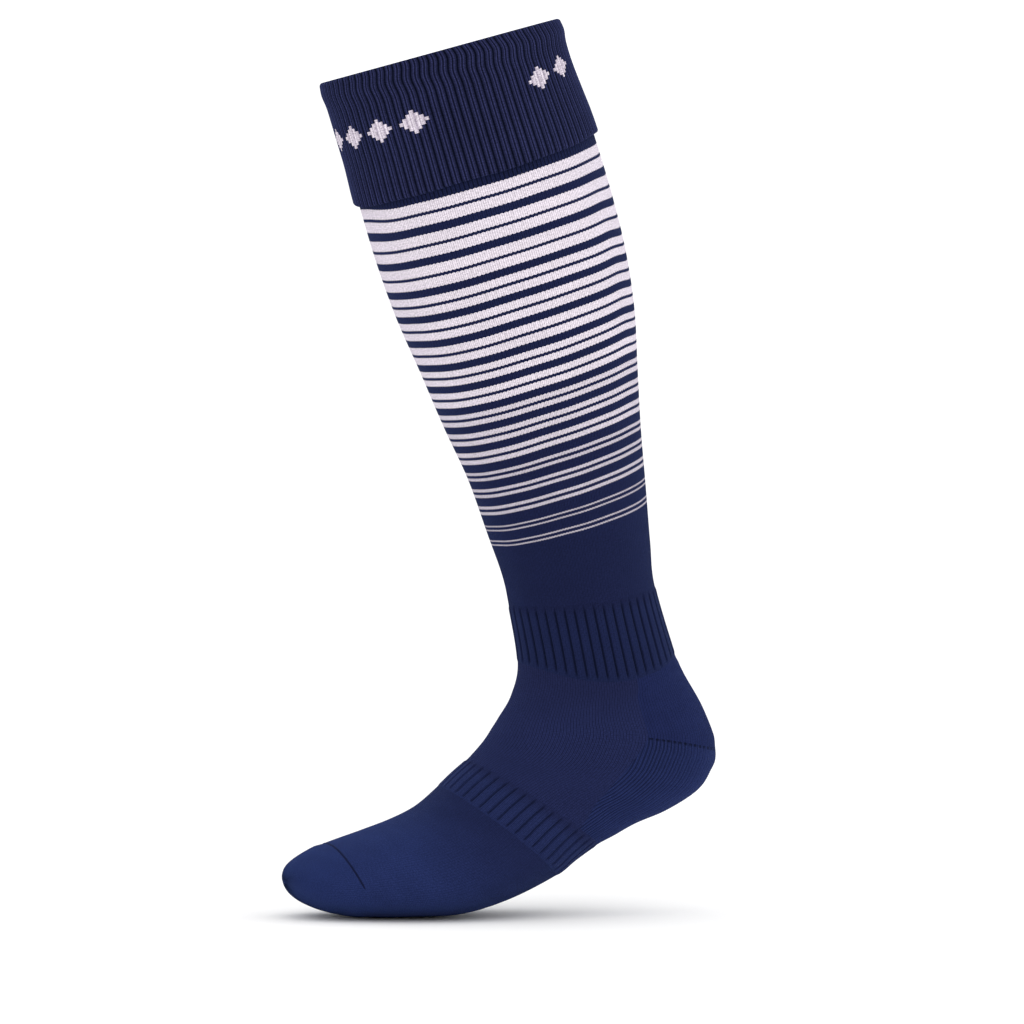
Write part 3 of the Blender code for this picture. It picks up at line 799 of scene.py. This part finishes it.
def makeBand(name, node, first, last, rows, changes):
    columns = bands["ribs"] * bands["columnsPerRib"]
    turns = turnsOf(columns)
    place = np.linspace(station(first), station(last), rows)
    away = np.abs((np.arange(columns) / bands["columnsPerRib"]) % 1.0 * 2 - 1)
    ridge = smooth(bands["ridge"], 1.0, away)[None, :]
    share = (np.arange(rows) / (rows - 1))[:, None]
    ends = np.minimum(share, 1 - share) + bands["endWaver"] * np.sin(13 * turns + 1)[None, :]
    fade = smooth(0, bands["fade"], ends)
    rise = bands["wall"] - (1 - fade) * (bands["wall"] - leg["wall"])
    rise = rise - ridge * bands["ribHeight"] * fade
    points = offSkin(place[:, None], evenTurns(place, turns / math.tau), rise)
    course = coursesOf(place, turns)
    shell = Surface(name)
    shell.grid(points, walesOf(columns), course, bakeParts["outer"], closed=True, flip=True)
    end = float(course[-1, 0])
    turns = turnsOf(bands["ribs"] * 2)
    place = np.linspace(station(first), station(last), bands["liningRows"])
    lining = offSkin(place[:, None], turns[None, :], 0.0)
    course = coursesOf(place, turns)
    shell.grid(lining, walesOf(len(turns)), course, bakeParts["lining"], closed=True)
    fades = [
        (end * start, end * full, "course") for start, full in (bands["fadeFirst"], bands["fadeLast"])
    ]
    look = dict(bands["look"], fades=fades, **changes)
    return shell.build(knitMaterial(name + "Knit", look), [node])


foot = {
    "wall": 0.0016, "terryWall": 0.0024, "waleHeight": 0.00015,
    "instepColumns": 420, "instepRows": 170, "underColumns": 252, "heelRows": 60, "soleRows": 130,
    "forefootRows": 110, "toeRows": 70,
    "rimAcross": 0.05, "rimAlong": 0.12,  # shares over which terry thins to its neighbours
    "waleRidge": 0.45,  # share of a wale that is ridge
    # ribs of the sole: wales a rib, depth, share that is ridge, and where they fade across
    "ribEvery": 1.25, "ribHeight": 0.00035, "ribRidge": 0.35, "ribFade": (0.42, 0.22),
    "seamFade": 0.10, "tipFade": 0.06, "tipGap": 0.02, "liningStep": 4,
    # In these looks, line, valley and holes set painted shade between wales, in rib valleys and in
    # seam holes
    "instepLook": dict(
        yarn, colour=(0.0186, 0.0250, 0.0890), blend=((0.0166, 0.0212, 0.0740), 40.0), line=0.5,
    ),
    "heelLook": dict(yarn, line=0.45, colour=(0.0148, 0.0222, 0.0890), mottle=0.04, fuzz=0.42),
    "soleLook": dict(
        yarn, colour=(0.0195, 0.0300, 0.1130), blend=((0.0165, 0.0252, 0.0950), 50.0),
        mottle=0.04, fuzz=0.5, line=0.0, holes=0.8,
        rib=(1.25, 0.30, 0.0), valley=0.60, fades=((76.0, 56.0, "wale"),),
    ),
    "forefootLook": dict(
        yarn, colour=(0.0215, 0.0355, 0.1330), blend=((0.0145, 0.0205, 0.0740), 80.0), mottle=0.05,
        fuzz=0.45,
    ),
    "toeLook": dict(yarn, colour=(0.0220, 0.0375, 0.1420), mottle=0.04, fuzz=0.6),
}


# Outer face and lining between two turns that change from row to row
def patchGrids(shell, place, fromTurn, toTurn, columns, wall, ribbed):
    share = np.linspace(0, 1, columns)[None, :]
    low, high = fromTurn(place)[:, None], toTurn(place)[:, None]
    turns = low + (high - low) * share
    wale = walesAt(place, turns)
    edge = np.minimum(share, 1 - share)
    ends = np.linspace(0, 1, len(place))[:, None]
    ends = np.minimum(ends, 1 - ends)
    rim = 1 - smooth(0, foot["rimAcross"], edge) * smooth(0, foot["rimAlong"], ends)
    if ribbed:
        away = np.abs((wale / foot["ribEvery"]) % 1.0 * 2 - 1)
        relief = smooth(foot["ribRidge"], 1.0, away) * smooth(*foot["ribFade"], edge)
        relief = foot["ribHeight"] * relief
    else:
        away = np.abs(wale % 1.0 * 2 - 1)
        relief = foot["waleHeight"] * smooth(foot["waleRidge"], 1.0, away)
    points = offSkin(place[:, None], turns, wall - rim * (wall - foot["wall"]) - relief)
    course = coursesOf(place, turns.mean(0))
    shell.grid(points, wale, course, bakeParts["outer"], flip=True)
    thin = slice(None, None, foot["liningStep"])
    inside = offSkin(place[thin, None], turns[thin, thin], 0.0)
    shell.grid(inside, wale[thin, thin], course[thin], bakeParts["lining"])


def makeInstep():
    place = np.linspace(station("bandEnd"), station("archTop"), foot["instepRows"])
    shell = Surface("instepTube")
    patchGrids(
        shell, place, lambda at: -borderAt(at), borderAt, foot["instepColumns"], foot["wall"], False
    )
    return shell.build(knitMaterial("instepKnit", foot["instepLook"]), ["instep"])


def makeUnder(name, node, first, last, rows, look, ribbed):
    place = np.linspace(station(first), station(last), rows)
    shell = Surface(name)
    columns = foot["underColumns"] * (2 if ribbed else 1)
    patchGrids(
        shell, place, borderAt, lambda at: math.tau - borderAt(at), columns, foot["terryWall"], ribbed
    )
    return shell.build(knitMaterial(name + "Knit", look), [node])


def makeTube(name, node, first, last, rows, wall, look, tip=False):
    columns = knit["wales"] * 2
    turns = turnsOf(columns)
    end = lastPlace - foot["tipGap"] if tip else station(last)
    share = np.linspace(0, 1, rows)
    place = station(first) + (end - station(first)) * share
    ridge = -foot["waleHeight"] * (np.arange(columns) % 2)[None, :]
    fade = (smooth(0, foot["tipFade"], 1 - share) if tip else np.ones(rows))[:, None]
    thicker = (wall - foot["wall"]) * smooth(0, foot["seamFade"], share)[:, None]
    rise = foot["wall"] + thicker + ridge * fade
    points = offSkin(place[:, None], evenTurns(place, turns / math.tau), rise)
    if tip:
        points[-1] = points[-1].mean(0)
    course = coursesOf(place, turns)
    shell = Surface(name)
    shell.grid(points, walesOf(columns), course, bakeParts["outer"], closed=True, flip=True)
    thin = slice(None, None, foot["liningStep"])
    inside = offSkin(place[thin, None], turns[None, thin], 0.0)
    wales = walesOf(len(turns[thin]))
    shell.grid(inside, wales, course[thin], bakeParts["lining"], closed=True)
    return shell.build(knitMaterial(name + "Knit", look), [node])


makeCuff()
makeLeg()
makeBand("ankleBand", "ankle_band", "bandTop", "bandEnd", bands["ankleRows"], {})
makeInstep()
makeUnder(
    "heelPocket", "heel", "bandEnd", "gore", foot["heelRows"], foot["heelLook"], False
)
makeUnder(
    "soleTerry", "sole", "gore", "archTop", foot["soleRows"], foot["soleLook"], True
)
makeBand(
    "archBand", "arch_band", "archTop", "archEnd", bands["archRows"], bands["arch"]
)
makeTube(
    "forefootTube", "forefoot", "archEnd", "seam", foot["forefootRows"],
    foot["wall"], foot["forefootLook"],
)
makeTube(
    "toeCap", "toe_cap", "seam", "tip", foot["toeRows"], foot["terryWall"],
    foot["toeLook"], tip=True,
)

seam = {
    "reach": math.radians(96), "width": 0.0018, "height": 0.0014, "sunk": 0.0005, "steps": 120,
    "sides": 10, "taper": 0.09, "endSize": 0.25, "wales": 4, "courses": 150,
    "look": dict(yarn, colour=(0.0075, 0.0110, 0.0400), groove=0.2),
}


def makeSeam():
    turns = np.linspace(-seam["reach"], seam["reach"], seam["steps"])
    place = np.full(seam["steps"], station("seam"))
    middle = offSkin(place, turns, leg["wall"] - seam["sunk"])
    out = outwardAt(place, turns)
    along = unit(skinAt(place + step, turns) - skinAt(place - step, turns))
    angles = math.tau * np.arange(seam["sides"]) / seam["sides"]
    run = np.linspace(0, 1, seam["steps"])
    grown = smooth(0, seam["taper"], np.minimum(run, 1 - run))[:, None, None]
    size = seam["endSize"] + (1 - seam["endSize"]) * grown
    points = middle[:, None, :] + size * (
        out[:, None, :] * (seam["height"] / 2 * np.cos(angles))[None, :, None]
        + along[:, None, :] * (seam["width"] / 2 * np.sin(angles))[None, :, None]
    )
    shell = Surface("toeSeam")
    wale = np.linspace(0, seam["wales"], seam["sides"] + 1)[None, :]
    course = np.linspace(0, seam["courses"], seam["steps"])[:, None]
    shell.grid(points, wale, course, bakeParts["whole"], closed=True)
    return shell.build(knitMaterial("toeSeamYarn", seam["look"]), ["toe_seam"])


makeSeam()

studio = {
    "floorSize": 30.0, "floorBelow": 0.0002, "floorColour": 0.93, "floorRoughness": 0.95,
    "worldStrength": 1.20, "azimuth": -15.0, "elevation": 3.1, "distance": 6.0,
    "target": (0.0414, 0.0042, -0.2536), "frameWidth": 0.5626, "sensor": 36.0, "farthest": 100.0,
    "lightsAim": (0.03, 0.0, -0.25),
    "lights": (
        ("keyLight", (-1.5, -2.5, 0.6), 1.6, 12.0),
        ("sideLight", (2.8, -0.7, 0.4), 1.6, 15.0),
    ),
}


def makeFloor():
    size = studio["floorSize"]
    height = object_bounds()[0][2] - studio["floorBelow"]
    mesh = bpy.data.meshes.new("floor")
    corners = [(x * size, y * size, height) for x, y in ((-1, -1), (1, -1), (1, 1), (-1, 1))]
    mesh.from_pydata(corners, [], [(0, 1, 2, 3)])
    floor = bpy.data.objects.new("floor", mesh)
    bpy.context.scene.collection.objects.link(floor)
    material = bpy.data.materials.new("paleFloor")
    material.use_nodes = True
    shader = material.node_tree.nodes["Principled BSDF"]
    shader.inputs["Base Color"].default_value = (*[studio["floorColour"]] * 3, 1.0)
    shader.inputs["Roughness"].default_value = studio["floorRoughness"]
    shader.inputs["Specular IOR Level"].default_value = 0.0
    mesh.materials.append(material)


def makeLight(name, place, size, power):
    lamp = bpy.data.lights.new(name, "AREA")
    lamp.shape = "SQUARE"
    lamp.size = size
    lamp.energy = power
    light = bpy.data.objects.new(name, lamp)
    light.location = place
    aim = Vector(studio["lightsAim"]) - Vector(place)
    light.rotation_mode = "QUATERNION"
    light.rotation_quaternion = aim.to_track_quat("-Z", "Y")
    bpy.context.scene.collection.objects.link(light)


def makeStudio():
    world = bpy.data.worlds.new("paleRoom")
    world.use_nodes = True
    back = world.node_tree.nodes["Background"]
    back.inputs["Color"].default_value = (1.0, 1.0, 1.0, 1.0)
    back.inputs["Strength"].default_value = studio["worldStrength"]
    bpy.context.scene.world = world
    bpy.context.scene.view_settings.view_transform = "Standard"
    for name, place, size, power in studio["lights"]:
        makeLight(name, place, size, power)


def makeCamera():
    lens = bpy.data.cameras.new("camera")
    lens.sensor_width = studio["sensor"]
    lens.lens = studio["sensor"] * studio["distance"] / studio["frameWidth"]
    lens.clip_end = studio["farthest"]
    camera = bpy.data.objects.new("camera", lens)
    a, e = math.radians(studio["azimuth"]), math.radians(studio["elevation"])
    back = Vector((math.sin(a) * math.cos(e), -math.cos(a) * math.cos(e), math.sin(e)))
    camera.location = Vector(studio["target"]) + back * studio["distance"]
    camera.rotation_mode = "QUATERNION"
    camera.rotation_quaternion = (-back).to_track_quat("-Z", "Y")
    bpy.context.scene.collection.objects.link(camera)
    bpy.context.scene.camera = camera


makeFloor()
makeStudio()
makeCamera()
print("stage, light and camera set")
